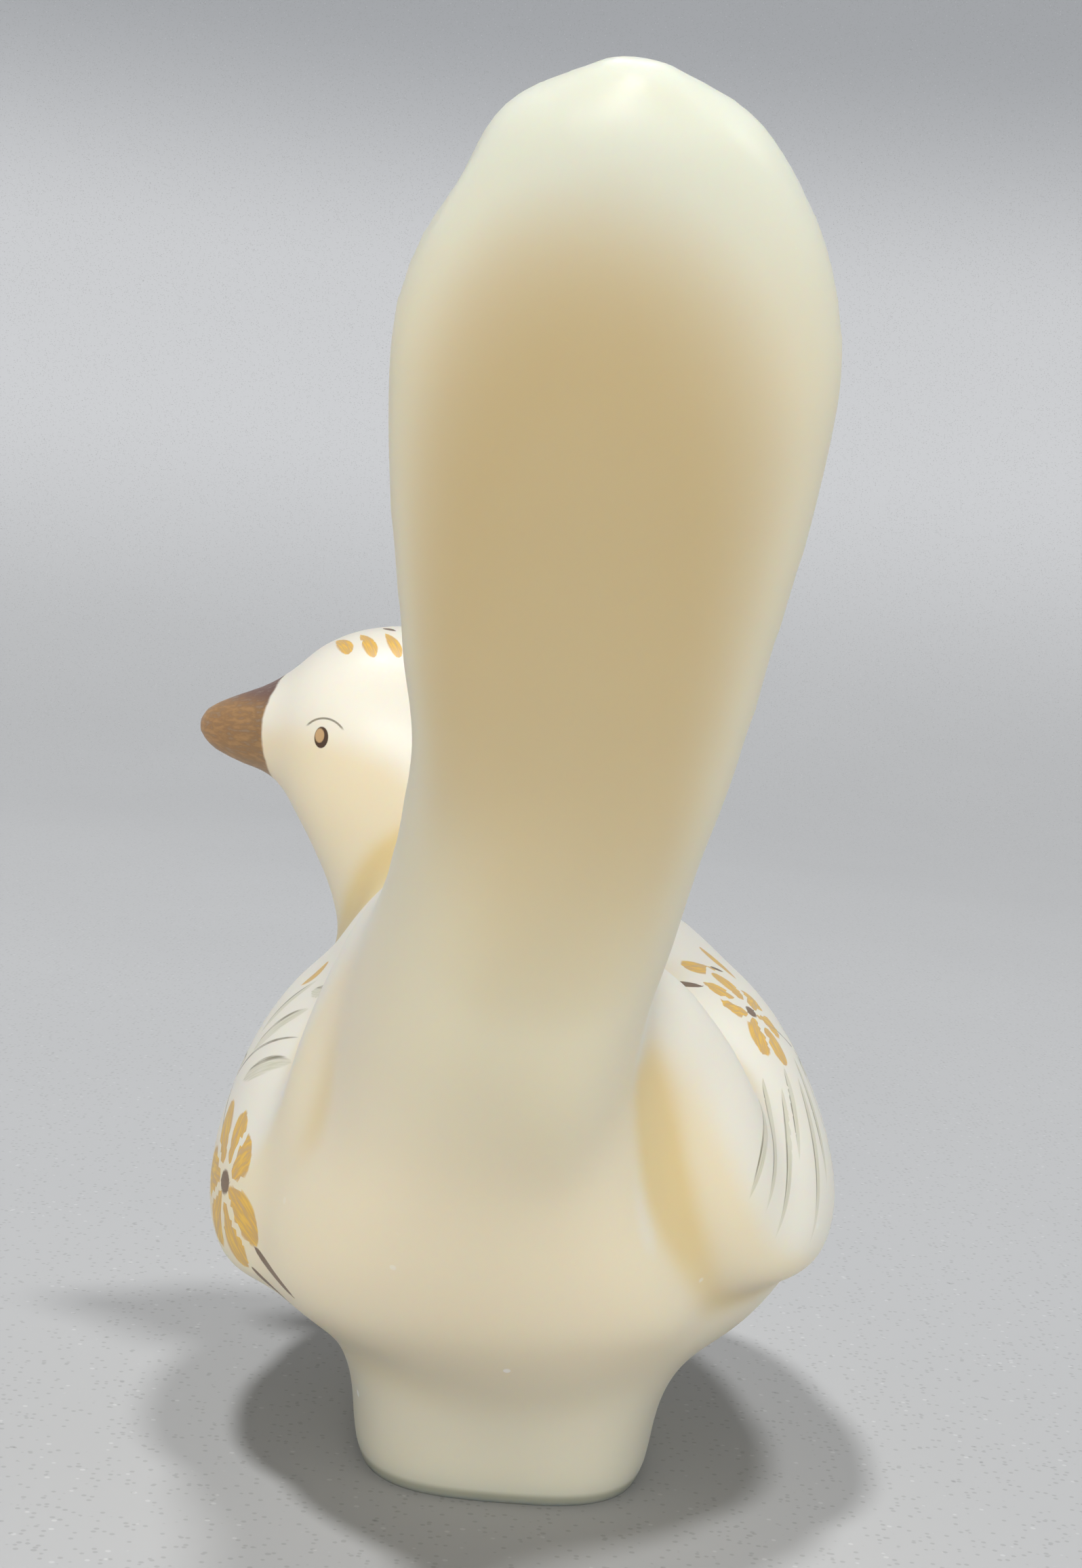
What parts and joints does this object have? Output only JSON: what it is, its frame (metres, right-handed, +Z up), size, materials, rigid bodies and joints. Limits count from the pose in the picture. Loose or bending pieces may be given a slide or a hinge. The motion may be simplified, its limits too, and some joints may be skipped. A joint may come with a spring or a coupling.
{
  "type": "glass bird figurine",
  "caption": "Solid satin glass bird with a plump body on a short foot, head turned to its left and a long raised paddle tail; a shelf or desk ornament.",
  "frame": {"origin": "centre of the foot's flat underside, on the surface it stands on", "axes": "+Z up; the body faces -Y with its tail towards +Y, and its left side, where the head is turned, is +X"},
  "size_m": [0.0774, 0.1617, 0.1262],
  "materials": {
    "satin_custard_glass": "satin, opal; pale custard yellow, with a painted brown beak, small eyes and gold, brown and grey-green brush strokes"
  },
  "bodies": {
    "root": {"bird": "satin_custard_glass"}
  },
  "joints": []
}
